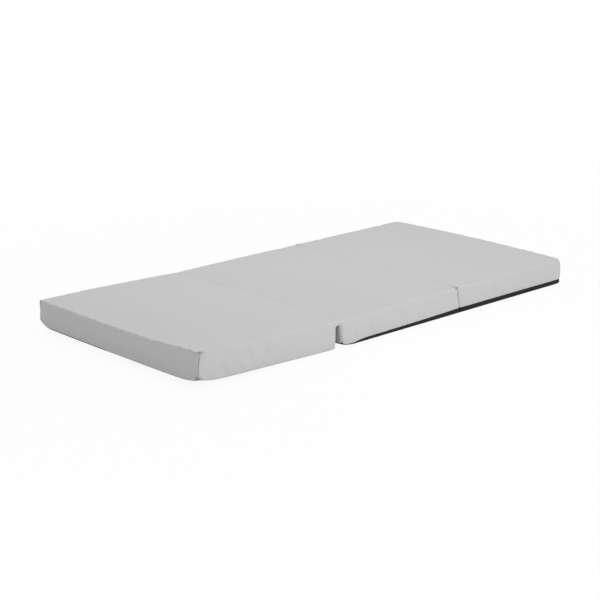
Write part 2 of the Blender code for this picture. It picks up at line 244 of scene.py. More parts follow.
def end_radius(kind, share):
    """Radius of an end's rounding at a share of the height."""
    bottom, side, top = END_RADII[kind]
    radius = side + (bottom - side) * (1 - ramp(share / LOW_BLEND_SHARE))
    return radius + (top - radius) * ramp((share - HIGH_BLEND_SHARE) / (1 - HIGH_BLEND_SHARE))


def rounded(y, z, half, low, high, radius):
    """A point of a rectangle's outline, moved onto its rounded corner."""
    centre_y = min(max(y, -half + radius), half - radius)
    centre_z = min(max(z, low + radius), high - radius)
    away = math.hypot(y - centre_y, z - centre_z)
    if away < radius * 0.5:
        return y, z
    return centre_y + (y - centre_y) * radius / away, centre_z + (z - centre_z) * radius / away


# %% Stations along a section
SEAM_ANGLE = math.pi / 4
SEAM_SIDE_ANGLE = math.radians(7)
END_ANGLES = [
    math.pi / 2,
    math.pi * 3 / 8,
    SEAM_ANGLE + SEAM_SIDE_ANGLE,
    SEAM_ANGLE,
    SEAM_ANGLE - SEAM_SIDE_ANGLE,
    math.pi / 8,
    0.0,
]
SEAM_STATION = END_ANGLES.index(SEAM_ANGLE)
ANGLE_SLACK = 0.01
SHOWN_Y = (0.02, 0.25)
SMALLEST_RADIUS = 0.0008
END_NAMES = ("low", "high")


def stations_of(section):
    """Stations along a section: (end index or None, angle, x)."""
    radii = [max(END_RADII[kind]) for kind in section["kinds"]]
    start = section["low"] + radii[0]
    stop = section["high"] - radii[1]
    places = even(start, start + EDGE_BAND, FINE_STEP) + [start + EDGE_BAND]
    marks = sorted({start + EDGE_BAND, *section["zip"], stop - EDGE_BAND})
    marks = [mark for mark in marks if start + EDGE_BAND <= mark <= stop - EDGE_BAND]
    for a, b in zip(marks, marks[1:]):
        places += even(a, b, LONG_STEP) + [b]
    places += even(stop - EDGE_BAND, stop, FINE_STEP)
    low_end = [(0, angle, section["low"]) for angle in END_ANGLES]
    high_end = [(1, angle, section["high"]) for angle in reversed(END_ANGLES)]
    return low_end + [(None, 0.0, place) for place in places] + high_end


def place_point(section, station, y, z):
    """Where an unrounded point of the block's surface goes at one station."""
    end, angle, x = station
    half, low, high, radius = EDGE_Y, 0.0, THICKNESS, EDGE_RADIUS
    if end is not None:
        kind = section["kinds"][end]
        here = end_radius(kind, z / THICKNESS)
        back = here * (1 - math.sin(angle))
        shrink = 1 - math.cos(angle)
        x += back if end == 0 else -back
        low = end_radius(kind, 0) * shrink
        high = THICKNESS - end_radius(kind, 1) * shrink
        half = EDGE_Y - here * shrink
        radius = max(EDGE_RADIUS - here * shrink, SMALLEST_RADIUS)
        y *= half / EDGE_Y
        z = low + z / THICKNESS * (high - low)
    return x, *rounded(y, z, half, low, high, radius)


def lowest_panel(section, end):
    """The panel at the foot of an end: black where the underside is wrapped up, else its border."""
    black = {"foot_fold": "facing", "end": "underside"} if section["wraps"][1] else {}
    return black.get(section["kinds"][end], END_NAMES[end])


def shows_underside(section, pair, y):
    """Whether the edge of the underside is left in sight here, under the raised head end."""
    is_head_end = section["name"] == "head" and pair[0][0] == 0
    return is_head_end and SHOWN_Y[0] < y < SHOWN_Y[1]


def panel_name(section, pair, segment, is_low, y):
    """The panel that a face of the tube belongs to."""
    ends = [station[0] for station in pair]
    angle = min(station[1] for station in pair)
    beyond = None not in ends and angle > SEAM_ANGLE - ANGLE_SLACK
    if beyond and not (is_low and shows_underside(section, pair, y)):
        return lowest_panel(section, ends[0]) if is_low else END_NAMES[ends[0]]
    return "underside" if is_low else segment


# %% [markdown]
# The skin function puts the points and faces together. It also keeps each point's place on the
# block as three shares (along, across, up), because the shaping below works in those, and each
# side face's place relative to the zip.

# %% The skin function


def build_skin(section):
    """Points and faces of one closed block, with a panel name for each face."""
    wrap_rows = len(WRAP_SHARES) + 1 if section["wraps"][1] else 0
    count_y = len(ROWS_Y)
    count_z = len(side_heights(section, 0))
    loop = loop_of(count_y, count_z)
    stations = stations_of(section)
    centre = (section["low"] + section["high"]) / 2
    half_length = (section["high"] - section["low"]) / 2
    points, shares, faces, names, zip_places = [], [], [], [], []
    index = {}

    def add_point(i, j, k):
        station = stations[i]
        z = side_heights(section, (station[2] - section["low"]) / (2 * half_length))[k]
        place = place_point(section, station, ROWS_Y[j], z)
        index[i, j, k] = len(points)
        points.append(place)
        shares.append(((place[0] - centre) / half_length, ROWS_Y[j] / EDGE_Y, z / THICKNESS))

    def add_face(corners, name, zip_place=None):
        faces.append([index[corner] for corner in corners])
        names.append(name)
        zip_places.append(zip_place)

    for i in range(len(stations)):
        for j, k in loop:
            add_point(i, j, k)
    last = len(stations) - 1
    for i in (0, last):
        for j in range(1, count_y - 1):
            for k in range(1, count_z - 1):
                add_point(i, j, k)

    heights = side_heights(section, 0.5)
    for i in range(last):
        pair = (stations[i], stations[i + 1])
        x = (pair[0][2] + pair[1][2]) / 2
        for a, b in zip(loop, loop[1:] + loop[:1]):
            segment = segment_name(a, b, count_y, count_z, 0 if wrap_rows else TURN_UNDER)
            is_low = segment == "bottom" or (wrap_rows > 0 and max(a[1], b[1]) <= wrap_rows)
            name = panel_name(section, pair, segment, is_low, ROWS_Y[a[0]])
            place = (x, (heights[a[1]] + heights[b[1]]) / 2 - ZIP_Z) if name == "back" else None
            if place and section["zip"][0] < x < section["zip"][1]:
                name = "opening" if abs(place[1]) < ZIP_HALF_HEIGHT else name
            add_face([(i, *a), (i, *b), (i + 1, *b), (i + 1, *a)], name, place)
    for i, end in ((0, 0), (last, 1)):
        for j in range(count_y - 1):
            for k in range(count_z - 1):
                is_low = k + 1 <= wrap_rows
                name = lowest_panel(section, end) if is_low else END_NAMES[end]
                add_face([(i, j, k), (i, j + 1, k), (i, j + 1, k + 1), (i, j, k + 1)], name)
    return {
        "points": np.array(points),
        "shares": np.array(shares),
        "faces": faces,
        "names": names,
        "zip_places": zip_places,
        "seams": seam_lines(index, last, count_y, count_z, wrap_rows),
    }


def segment_name(a, b, count_y, count_z, turn_under):
    """The side of the block between two neighbours in its loop, where borders may turn under."""
    if a[1] == 0 and b[1] == 0 and turn_under <= min(a[0], b[0]):
        if max(a[0], b[0]) <= count_y - 1 - turn_under:
            return "bottom"
    if a[1] == count_z - 1 and b[1] == count_z - 1:
        return "top"
    return "back" if min(a[0], b[0]) > count_y / 2 else "front"


def seam_lines(index, last, count_y, count_z, wrap_rows):
    """Rows of points that are sewn: along both long sides, across both ends, up the corners."""
    stations = {"low": SEAM_STATION, "high": last - SEAM_STATION}
    sides = {"front": 0, "back": count_y - 1}
    top = count_z - 1
    lines = {}
    for side, j in sides.items():
        along = range(stations["low"], stations["high"] + 1)
        lines["top_" + side] = [index[i, j, top] for i in along]
        under = 0 if wrap_rows else TURN_UNDER if side == "front" else -TURN_UNDER
        lines["bottom_" + side] = [index[i, j + under, wrap_rows] for i in along]
    for end, i in stations.items():
        lines["top_" + end] = [index[i, j, top] for j in range(count_y)]
        lines["floor_" + end] = [index[i, j, 0] for j in range(count_y)]
        for side, j in sides.items():
            lines[f"corner_{end}_{side}"] = [index[i, j, k] for k in range(wrap_rows, count_z)]
    return lines


for section in SECTIONS:
    skin = build_skin(section)
    section["skin"] = skin
    print(section["name"], "skin:", len(skin["points"]), "points,", len(skin["faces"]), "faces")

# %% [markdown]
# ## Filling out
#
# Foam in a tight cover is crowned on top, bellied at the sides, and bowed outwards at a free
# end, while its bottom corners are pulled up off the floor by the seams that meet there. At the
# foot fold the two walls press against each other and, at the front, lean towards the head end.
# The head end was left standing a little wider at its foot, with its top edge sagging between
# the corners and its front corner raised. The foot end is drawn in at its corners, and the
# slot's round wall recedes towards the floor. All of that is smooth, so it is done with plain
# formulas on the three shares.

# %% Shape of a section
CORNER_LIFTS = {
    ("head", 0): ((0.0090, 0.070, 0.070), (0.0210, 0.044, 0.044)),
    ("head", 1): ((0.0015, 0.030, 0.030), (0.0015, 0.030, 0.030)),
    ("middle", 0): ((0.0095, 0.050, 0.120), (0.0095, 0.050, 0.120)),
    ("foot", 1): ((0.0020, 0.030, 0.030), (0.0020, 0.030, 0.030)),
}
TOP_CORNER_LIFTS = (0.0120, -0.0030)
TOP_SAG = 0.0048
TOP_CORNER_REACH = 0.170
FOOT_TUCK = 0.0045
FOOT_SKEW = 0.0065
SKEW_START = 0.2
FOLD_LEVEL = 0.55
FOLD_CROWN_START = 0.25
FOLD_FILL = 0.00142
FOLD_FILL_REACH = 0.05
FOLD_FILL_RISE = 0.35
FOLD_LEAN = 0.0110
FOLD_LEAN_POWER = 1.5
FOLD_LEAN_REACH = 0.080
FOLD_PUFF = 0.0018
SLOT_LEAN = 0.0045
SLOT_LEAN_REACH = 0.060
END_START = 0.6
END_FLARE = 0.005
FLARE_HEIGHT = 0.55
FLARE_WIDTH = 1.2
END_SKEW = 0.0095
FOLD_PUFF_REACH = 0.022
SIDE_SHARE = 0.9999


def bell(distance, reach):
    """Falls from 1 at no distance along a bell curve, and is small past its reach."""
    return np.exp(-((distance / reach) ** 2))


def nearness(distance, reach):
    """Falls smoothly from 1 at no distance to 0 at its reach."""
    return 1 - ramp(distance / reach)


def cone(distance, reach):
    """Falls straight from 1 at no distance to 0 at its reach."""
    return np.clip(1 - distance / reach, 0, 1)


def away_from(section, end, points):
    """How far each point is from one end of its section, along X."""
    return np.abs(points[:, 0] - section[END_NAMES[end]])


def crown_share(section, along):
    """How much of the crown is there: none at a free end, some of it over the head fold."""
    share = np.ones_like(along)
    for end, sign in ((0, -1), (1, 1)):
        place = np.clip(along * sign, 0, 1)
        if section["kinds"][end].startswith("head_fold"):
            start = FOLD_CROWN_START
            share *= 1 - (1 - FOLD_LEVEL) * ramp((place - start) / (1 - start))
        elif section["kinds"][end] == "end":
            share *= 1 - place**4
    return share


def lift_corners(section, end, points, across, up):
    """Pulls the two bottom corners of an end up, most at the corner itself."""
    lifts = CORNER_LIFTS.get((section["name"], end), ())
    from_end = away_from(section, end, points)
    for side, (lift, reach_in, reach_across) in zip((-1, 1), lifts):
        from_side = (1 - across * side) * EDGE_Y
        near = cone(from_end, reach_in) * cone(from_side, reach_across)
        points[:, 2] += lift * (near * (1 - up)) ** 2


def close_foot_fold(section, end, points, across, up):
    """Fills the foot fold out, leans it towards the head end and puffs its top corners."""
    sign = 1 if end else -1
    away = away_from(section, end, points)
    near = nearness(away, FOLD_FILL_REACH)
    points[:, 0] += sign * FOLD_FILL * near * ramp(up / FOLD_FILL_RISE)
    lean = FOLD_LEAN * nearness(away, FOLD_LEAN_REACH) * ramp(-across)
    points[:, 0] -= lean * up**FOLD_LEAN_POWER
    corner = bell(away, FOLD_PUFF_REACH)
    corner *= bell((1 - np.abs(across)) * EDGE_Y, FOLD_PUFF_REACH) * ramp(up)
    if section["name"] == "foot":
        points[:, 2] += FOLD_PUFF * corner
        points[:, 1] += np.sign(across) * 0.5 * FOLD_PUFF * corner


def set_free_end(section, points, across, up, near):
    """The way a free end was left lying: flared at the head, and drawn in at the foot."""
    belly = 4 * up * (1 - up)
    if section["name"] == "foot":
        tuck = FOOT_TUCK * across**8 * (1 - belly)
        skew = FOOT_SKEW * ramp((SKEW_START - across) / (1 + SKEW_START))
        points[:, 0] -= near * (tuck + skew)
        return
    flare = END_FLARE * ramp((1 - up) / FLARE_HEIGHT) * ramp((1 - across) / FLARE_WIDTH)
    skew = END_SKEW * ramp((across + SKEW_START) / (1 + SKEW_START))
    points[:, 0] -= near * (flare + skew)
    from_end = points[:, 0] - section["low"]
    sag = TOP_SAG * (1 - across**2) * nearness(from_end, TOP_CORNER_REACH)
    points[:, 2] -= sag * up
    for side, lift in zip((-1, 1), TOP_CORNER_LIFTS):
        from_side = (1 - across * side) * EDGE_Y
        close = cone(from_end, TOP_CORNER_REACH) * cone(from_side, TOP_CORNER_REACH)
        points[:, 2] += lift * close**2 * up


def fill_out(section):
    """Crowns, bellies and bows one section, and shapes its ends."""
    points = section["skin"]["points"].copy()
    along, across, up = section["skin"]["shares"].T
    points[:, 2] += CROWN * crown_share(section, along) * (1 - across**4) * up**3
    belly = 4 * up * (1 - up)
    is_side = np.abs(across) > SIDE_SHARE
    points[:, 1] += np.sign(across) * is_side * BELLY * (1 - along**12) * belly
    for end, sign in ((0, -1), (1, 1)):
        kind = section["kinds"][end]
        if kind == "end":
            near = ramp((along * sign - END_START) / (1 - END_START))
            bow = END_BULGE * (1 - across**2) + BELLY * belly * (1 - across**4)
            points[:, 0] += sign * near * bow
            set_free_end(section, points, across, up, near)
        if kind == "head_fold_round":
            away = away_from(section, end, points)
            points[:, 0] += SLOT_LEAN * nearness(away, SLOT_LEAN_REACH) * (1 - up) ** 1.5
        if kind == "foot_fold":
            close_foot_fold(section, end, points, across, up)
        lift_corners(section, end, points, across, up)
    return points


for section in SECTIONS:
    section["skin"]["points"] = fill_out(section)
    print(section["name"], "top at", round(float(section["skin"]["points"][:, 2].max()), 4))

# %% [markdown]
# ## Cloth simulation
#
# The formulas are too even to pass for cloth. Blender's Cloth modifier can finish the job: the
# seams are held, the foam's push is a light pressure, and the cloth between the seams is cut a
# little too large, so it settles into shallow waves and puckers. No point may move far, least of
# all on the flat top, and the lines where cloth crosses a fold don't move at all, so neighbouring
# pieces still meet there. The border round each zip is held too, because the zip's stiff tapes
# keep it flat.

# %% Simulation helpers
SETTLE_FRAMES = 14
SIDE_CAP = 0.0010
TOP_CAP = 0.0005
CUT_LARGER = 0.010
FOAM_PRESSURE = 0.5
SEAM_HOLD = 0.8
FOLD_HOLD_REACH = 0.060
ZIP_HOLD_REACH = 0.016
FLOOR_SHARE = 0.02
TOP_BAND = 0.2
CLOTH_SETTINGS = {
    "quality": 6,
    "mass": 0.15,
    "air_damping": 5,
    "tension_stiffness": 20,
    "compression_stiffness": 20,
    "shear_stiffness": 8,
    "bending_stiffness": 0.4,
    "pin_stiffness": 1,
    "shrink_min": -CUT_LARGER,
    "use_pressure": True,
    "uniform_pressure_force": FOAM_PRESSURE,
}


def mesh_object(name, points, faces, edges=()):
    """A plain mesh object at the origin."""
    mesh = bpy.data.meshes.new(name)
    mesh.from_pydata([tuple(point) for point in points], list(edges), faces)
    mesh.update()
    item = bpy.data.objects.new(name, mesh)
    bpy.context.scene.collection.objects.link(item)
    return item


def vertex_values(mesh, label):
    """The places or normals of a mesh's points, one to a row."""
    found = np.empty(len(mesh.vertices) * 3)
    mesh.vertices.foreach_get(label, found)
    return found.reshape(-1, 3)


def orient(item):
    """Turns every face of a closed mesh outwards."""
    form = bmesh.new()
    form.from_mesh(item.data)
    bmesh.ops.recalc_face_normals(form, faces=form.faces)
    form.to_mesh(item.data)
    form.free()


def hold_weights(section):
    """How firmly each point is held: 1 doesn't move, 0 is free."""
    skin = section["skin"]
    points = skin["points"]
    along, across, up = skin["shares"].T
    held = np.zeros(len(points))
    held[up < FLOOR_SHARE] = 1
    for line in skin["seams"].values():
        held[line] = SEAM_HOLD
    for end in (0, 1):
        if section["kinds"][end] != "end":
            near = nearness(away_from(section, end, points), FOLD_HOLD_REACH)
            held = np.maximum(held, near)
    zip_low, zip_high = section["zip"]
    from_zip_x = np.clip(np.maximum(zip_low - points[:, 0], points[:, 0] - zip_high), 0, None)
    from_zip_z = np.clip(np.abs(points[:, 2] - ZIP_Z) - ZIP_HALF_HEIGHT, 0, None)
    from_zip = np.hypot(from_zip_x, from_zip_z)
    near_zip = nearness(from_zip, ZIP_HOLD_REACH) * (across > SIDE_SHARE)
    return np.maximum(held, near_zip)


def settle(section):
    """Lets the cloth of one section settle, and returns where its points end up."""
    skin = section["skin"]
    item = mesh_object("settling_" + section["name"], skin["points"], skin["faces"])
    orient(item)
    group = item.vertex_groups.new(name="held")
    held = hold_weights(section)
    for level in np.unique(np.round(held, 2)):
        chosen = np.flatnonzero(np.round(held, 2) == level)
        group.add([int(i) for i in chosen], float(level), "REPLACE")
    cloth = item.modifiers.new("cover", "CLOTH")
    for key, value in CLOTH_SETTINGS.items():
        setattr(cloth.settings, key, value)
    cloth.settings.vertex_group_mass = group.name
    cloth.settings.effector_weights.gravity = 0
    cloth.collision_settings.use_collision = False
    cloth.point_cache.frame_start = 1
    cloth.point_cache.frame_end = SETTLE_FRAMES
    for number in range(1, SETTLE_FRAMES + 1):
        bpy.context.scene.frame_set(number)
    seen = item.evaluated_get(bpy.context.evaluated_depsgraph_get())
    moved = (vertex_values(seen.data, "co") - skin["points"]) * (1 - held)[:, None]
    bpy.data.objects.remove(item, do_unlink=True)
    size = np.linalg.norm(moved, axis=1)
    near_top = ramp((skin["shares"][:, 2] - (1 - TOP_BAND)) / TOP_BAND)
    most = SIDE_CAP + (TOP_CAP - SIDE_CAP) * near_top
    cap = most * np.tanh(size / most) / np.maximum(size, 1e-9)
    print(section["name"], "cloth moved by up to", round(float(size.max()) * 1000, 2), "mm")
    return skin["points"] + moved * cap[:, None]


# %% Run the simulation
for section in SECTIONS:
    section["skin"]["points"] = settle(section)
bpy.context.scene.frame_set(1)

# %% [markdown]
# ## Puckered seams
#
# Where two panels are sewn, the thread draws the cloth together: the seam lies in a fine groove,
# and the cloth beside it stands up in short arches between the places where the thread is
# tightest. The arches are seeded and read along each seam, and fade within a couple of
# centimetres of it. They are highest on the seam over the free ends, where the cover is drawn
# over the foam's corners. The front corners end in small pits, where three panels meet.

# %% Arches along a seam
ARCH_HEIGHT = {"top": 0.0005, "bottom": 0.0004, "floor": 0.0, "corner": 0.0003}
END_ARCH_HEIGHTS = {"head": 0.0032, "foot": 0.0010}
ARCH_REACH = 0.010
ARCH_LENGTHS = (0.018, 0.055)
ARCH_LEVELS = (0.35, 1.0)
ARCH_POWER = 0.8
ARCH_FADE = 0.020
GROOVE_DEPTH = {"top": 0.0004, "bottom": 0.0003, "floor": 0.0, "corner": 0.0012}
GROOVE_REACH = {"top": 0.0009, "bottom": 0.0009, "corner": 0.0014}
PIT_DEPTHS = (0.0050, 0.0040)
PIT_REACH = 0.0028
LINE_STEP = 0.0008
PLAIN_BAND = 0.001
PLAIN_FADE = 0.018
LOWEST_Z = -0.0003


def arches(places, seed):
    """Uneven arches along a line: 0 where the thread pulls, and up to 1 between."""
    random = np.random.default_rng(seed)
    pulls = [-random.uniform(0, ARCH_LENGTHS[0])]
    while pulls[-1] <= places[-1]:
        pulls.append(pulls[-1] + random.uniform(*ARCH_LENGTHS))
    pulls = np.array(pulls)
    heights = random.uniform(*ARCH_LEVELS, len(pulls))
    span = np.searchsorted(pulls, places, side="right") - 1
    share = (places - pulls[span]) / (pulls[span + 1] - pulls[span])
    ends = ramp(places / ARCH_FADE) * ramp((places[-1] - places) / ARCH_FADE)
    return heights[span] * np.sin(math.pi * share) ** ARCH_POWER * ends


def outward(points, faces):
    """A skin's faces, each listed so that it faces outwards, and the normals of its points."""
    item = mesh_object("outward", points, faces)
    orient(item)
    listed = [list(polygon.vertices) for polygon in item.data.polygons]
    normals = vertex_values(item.data, "normal")
    bpy.data.objects.remove(item, do_unlink=True)
    return listed, normals


def dense_line(points):
    """A polyline with its points a step apart, and the distance along it of each."""
    spans = np.linalg.norm(np.diff(points, axis=0), axis=1)
    reached = np.concatenate([[0], np.cumsum(spans)])
    places = np.arange(0, reached[-1], LINE_STEP)
    line = np.stack([np.interp(places, reached, points[:, axis]) for axis in range(3)], axis=1)
    return line, places


def distances(points, line):
    """For each point, its distance to a line of points and the number of the nearest."""
    tree = KDTree(len(line))
    for i, place in enumerate(line):
        tree.insert(place, i)
    tree.balance()
    found = [tree.find(point) for point in points]
    return np.array([hit[2] for hit in found]), np.array([hit[1] for hit in found])


def pucker(section, first_seed):
    """Draws every seam of a section in, and makes the cloth beside it stand up in arches."""
    skin = section["skin"]
    points = skin["points"]
    normals = outward(points, skin["faces"])[1]
    shift = np.zeros(len(points))
    fade = np.ones(len(points))
    for end, kind in enumerate(section["kinds"]):
        if kind != "end":
            fade *= ramp((away_from(section, end, points) - PLAIN_BAND) / PLAIN_FADE)
    for number, (name, line) in enumerate(skin["seams"].items()):
        kind, where = name.split("_")[:2]
        end = {"low": 0, "high": 1}.get(where)
        at_end = end is not None and section["kinds"][end] == "end"
        if kind == "floor" or (kind == "top" and end is not None and not at_end):
            continue
        seam, places = dense_line(points[line])
        away, nearest = distances(points, seam)
        height = ARCH_HEIGHT[kind]
        if kind == "top" and at_end:
            height = END_ARCH_HEIGHTS[section["name"]]
        arch = arches(places, first_seed + number)[nearest] * height
        shift += arch * bell(away, ARCH_REACH) * fade
        shift -= GROOVE_DEPTH[kind] * bell(away, GROOVE_REACH[kind]) * fade
        if kind == "corner" and name.endswith("front"):
            for tip, depth in zip((points[line[0]], points[line[-1]]), PIT_DEPTHS):
                away = np.linalg.norm(points - tip, axis=1)
                shift -= depth * bell(away, PIT_REACH) * fade
    points = points + normals * shift[:, None]
    points[:, 2] = np.clip(points[:, 2], LOWEST_Z, FOLD_LIMIT_Z)
    return points


for number, section in enumerate(SECTIONS):
    section["skin"]["points"] = pucker(section, 100 * (number + 1))
    print(section["name"], "seams:", ", ".join(section["skin"]["seams"]))

# %% [markdown]
# ## Cutting out the panels
#
# Each sewn panel becomes an object of its own, so that it can be named, coloured and moved. Its
# faces are copied out of the skin, a map of the cloth in metres is written for the weave, and
# the Solidify modifier gives it the thickness of cloth. The head section is turned up about its
# fold, to where the CAD model has it.

# %% Panel helpers
CLOTH = 0.0010
SHARP = math.radians(50)


def pitched(points, weights):
    """Turns points about the head fold's line by a share of the head section's pitch."""
    points = np.asarray(points, float)
    angle = HEAD_PITCH * np.asarray(weights, float)
    x = points[:, 0] - HEAD_HINGE.x
    z = points[:, 2] - HEAD_HINGE.z
    turned_x = HEAD_HINGE.x + x * np.cos(angle) + z * np.sin(angle)
    turned_z = HEAD_HINGE.z - x * np.sin(angle) + z * np.cos(angle)
    return np.stack([turned_x, points[:, 1], turned_z], axis=1)


def as_placed(section, points):
    """Points of a flat section, moved to where the section is at rest."""
    return pitched(points, [float(section["name"] == "head")] * len(points))


def bake(item):
    """Replaces an object's mesh by what its modifiers make of it, and removes them."""
    seen = item.evaluated_get(bpy.context.evaluated_depsgraph_get())
    made = bpy.data.meshes.new_from_object(seen)
    item.modifiers.clear()
    old = item.data
    item.data = made
    bpy.data.meshes.remove(old)
    made.name = item.name
    made.shade_smooth()
    made.set_sharp_from_angle(angle=SHARP)


def cut_panel(name, points, faces, cloth_map, thickness=CLOTH):
    """A sewn piece from some faces of a skin, whose map gives each corner's place on the cloth."""
    used = sorted({i for face in faces for i in face})
    new_index = {old: new for new, old in enumerate(used)}
    item = mesh_object(name, points[used], [[new_index[i] for i in face] for face in faces])
    layer = item.data.uv_layers.new(name="cloth")
    flat = [place for face_map in cloth_map for place in face_map]
    layer.data.foreach_set("uv", np.array(flat, float).ravel())
    wall = item.modifiers.new("cloth thickness", "SOLIDIFY")
    wall.thickness = thickness
    wall.offset = -1
    bake(item)
    return item


def map_face(flat_points, face, name):
    """The corners of a face on the flat cloth, in metres, seen straight on to its panel."""
    if name in ("top", "underside"):
        return [(flat_points[i][0], flat_points[i][1]) for i in face]
    if name in ("low", "high", "facing"):
        return [(flat_points[i][1], flat_points[i][2]) for i in face]
    return [(flat_points[i][0], flat_points[i][2]) for i in face]


for section in SECTIONS:
    skin = section["skin"]
    skin["faces"] = outward(skin["points"], skin["faces"])[0]
    section["placed"] = as_placed(section, skin["points"])

# %% Borders and single panels
cloths = {}
SIDES = {"front": "front_border", "back": "back_border"}
SINGLE_PANELS = {
    "head": {**SIDES, "low": "end_border", "high": "fold_border", "underside": "underside_panel"},
    "middle": {**SIDES, "low": "head_fold_border", "high": "foot_fold_border", "facing": None},
    "foot": {
        "top": "top_panel",
        **SIDES,
        "low": "fold_border",
        "high": "end_border",
        "facing": None,
    },
}


def single_panel(section, panel, label):
    """One panel that rides with its section. A fold facing stands for no CAD node of its own."""
    name = section["name"]
    node = f"{name}_{label}" if label else None
    skin = section["skin"]
    faces = [face for face, found in zip(skin["faces"], skin["names"]) if found == panel]
    maps = [map_face(skin["points"], face, panel) for face in faces]
    piece_name = node + "_cloth" if node else name + "_foot_fold_facing"
    piece = cut_panel(piece_name, section["placed"], faces, maps)
    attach(piece, section["body"])
    if node:
        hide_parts(node)
    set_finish(piece, "black_fabric" if panel in ("underside", "facing") else "grey_fabric")
    return piece


for section in SECTIONS:
    for panel, label in SINGLE_PANELS[section["name"]].items():
        piece = single_panel(section, panel, label)
        cloths[piece.name] = piece
        print(piece.name, len(piece.data.polygons), "faces")

# %% [markdown]
# ## Cloth that crosses a fold
#
# Over the head fold the grey top is one length of cloth from the head end to the foot fold, with
# its side edges turned down into the slot. Under the foot fold the black underside is one length
# too.

# %% Join two sections with a strip
TOP_COLUMNS = 12
UNDER_COLUMNS = 6


def hinge_row(section, seam):
    """The sewn row of a section where a strip joins it, and its flat points."""
    row = section["skin"]["seams"][seam]
    return row, section["skin"]["points"][row]


def add_section_faces(cloth, section, label):
    """Adds one section's part of a crossing cloth, and returns where its points start."""
    start = len(cloth["points"])
    skin = section["skin"]
    cloth["points"] += [tuple(point) for point in section["placed"]]
    for face, found in zip(skin["faces"], skin["names"]):
        if found == label:
            cloth["faces"].append([i + start for i in face])
            cloth["maps"].append(map_face(skin["points"], face, label))
    return start


def add_column(cloth, flat, share, is_pitched):
    """Adds one column of a strip, turned by its share of the head's pitch."""
    start = len(cloth["points"])
    weight = float(ramp(1 - share)) if is_pitched else 0.0
    cloth["points"] += [tuple(point) for point in pitched(flat, [weight] * len(flat))]
    return list(range(start, start + len(flat)))


def add_grid(cloth, grid, flats, is_turned, to_map):
    """Adds the faces between the columns of a grid."""
    for a, b, flat_a, flat_b in zip(grid, grid[1:], flats, flats[1:]):
        for j in range(len(a) - 1):
            face = [a[j], b[j], b[j + 1], a[j + 1]]
            place = [to_map(p) for p in (flat_a[j], flat_b[j], flat_b[j + 1], flat_a[j + 1])]
            cloth["faces"].append(face[::-1] if is_turned else face)
            cloth["maps"].append(place[::-1] if is_turned else place)


def strip_between(cloth, first, second, seams, columns, is_top):
    """A crossing cloth: the faces of two sections, and a strip over the gap between them."""
    label = "top" if is_top else "underside"
    offsets = [add_section_faces(cloth, section, label) for section in (first, second)]
    left, flat_left = hinge_row(first, seams[0])
    right, flat_right = hinge_row(second, seams[1])
    grid, flats = [[i + offsets[0] for i in left]], [flat_left]
    for column in range(1, columns):
        share = column / columns
        flats.append(flat_left + (flat_right - flat_left) * share)
        grid.append(add_column(cloth, flats[-1], share, is_top))
    grid.append([i + offsets[1] for i in right])
    flats.append(flat_right)
    add_grid(cloth, grid, flats, not is_top, lambda point: tuple(point[:2]))
    return grid


# %% [markdown]
# The slot between the head and middle sections is closed at its top by the same grey cloth: its
# edge is turned down there, less in the middle than beside the sections, so that the slot ends in
# a small arch. The flap's outer columns follow the corner seams of the two sections, and the
# columns between them are worked out from those two.

# %% Flaps at the ends of the slot
FLAP_SIDE_DEPTH = 0.0125
FLAP_MIDDLE_DEPTH = 0.0080
FLAP_ROWS = 6


def down_corner(section, seam, depths):
    """Points down a section's corner seam at depths below its top."""
    skin = section["skin"]
    line = skin["points"][skin["seams"][seam][::-1]]
    reached = line[0][2] - line[:, 2]
    x = np.interp(depths, reached, line[:, 0])
    y = np.interp(depths, reached, line[:, 1])
    return np.stack([x, y, line[0][2] - depths], axis=1)


def add_flap(cloth, grid, side):
    """Turns one side edge of the top strip down into the slot."""
    row = 0 if side == "front" else -1
    columns, flats = [], []
    for column, top in enumerate(grid):
        share = column / (len(grid) - 1)
        arch = math.sin(math.pi * share) ** 0.6
        depth = FLAP_SIDE_DEPTH - (FLAP_SIDE_DEPTH - FLAP_MIDDLE_DEPTH) * arch
        depths = np.linspace(0, depth, FLAP_ROWS + 1)
        left = down_corner(head, "corner_high_" + side, depths)
        right = down_corner(middle, "corner_low_" + side, depths)
        flat = left + (right - left) * share
        flats.append(flat)
        columns.append([top[row]] + add_column(cloth, flat[1:], share, True))
    add_grid(cloth, columns, flats, side == "front", lambda point: (point[0], point[2]))


# %% The two crossing cloths


def crossing_cloth(name, first, second, seams, columns, is_top):
    """One length of cloth over two sections, with flaps where it closes the slot's ends."""
    cloth = {"points": [], "faces": [], "maps": []}
    grid = strip_between(cloth, first, second, seams, columns, is_top)
    for side in ("front", "back") if is_top else ():
        add_flap(cloth, grid, side)
    return cut_panel(name, np.array(cloth["points"]), cloth["faces"], cloth["maps"])


top_cloth = crossing_cloth(
    "head_middle_top_cloth", head, middle, ("top_high", "top_low"), TOP_COLUMNS, True
)
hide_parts("head_top_panel", "middle_top_panel", "top_fold_strip")
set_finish(top_cloth, "grey_fabric")
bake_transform(top_cloth)

floor_seams = ("floor_high", "floor_low")
under_cloth = crossing_cloth(
    "middle_foot_underside_cloth", middle, foot, floor_seams, UNDER_COLUMNS, False
)
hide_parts("middle_underside_panel", "foot_underside_panel", "underside_fold_strip")
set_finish(under_cloth, "black_fabric")
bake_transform(under_cloth)
print("crossing cloths:", len(top_cloth.data.polygons), len(under_cloth.data.polygons), "faces")
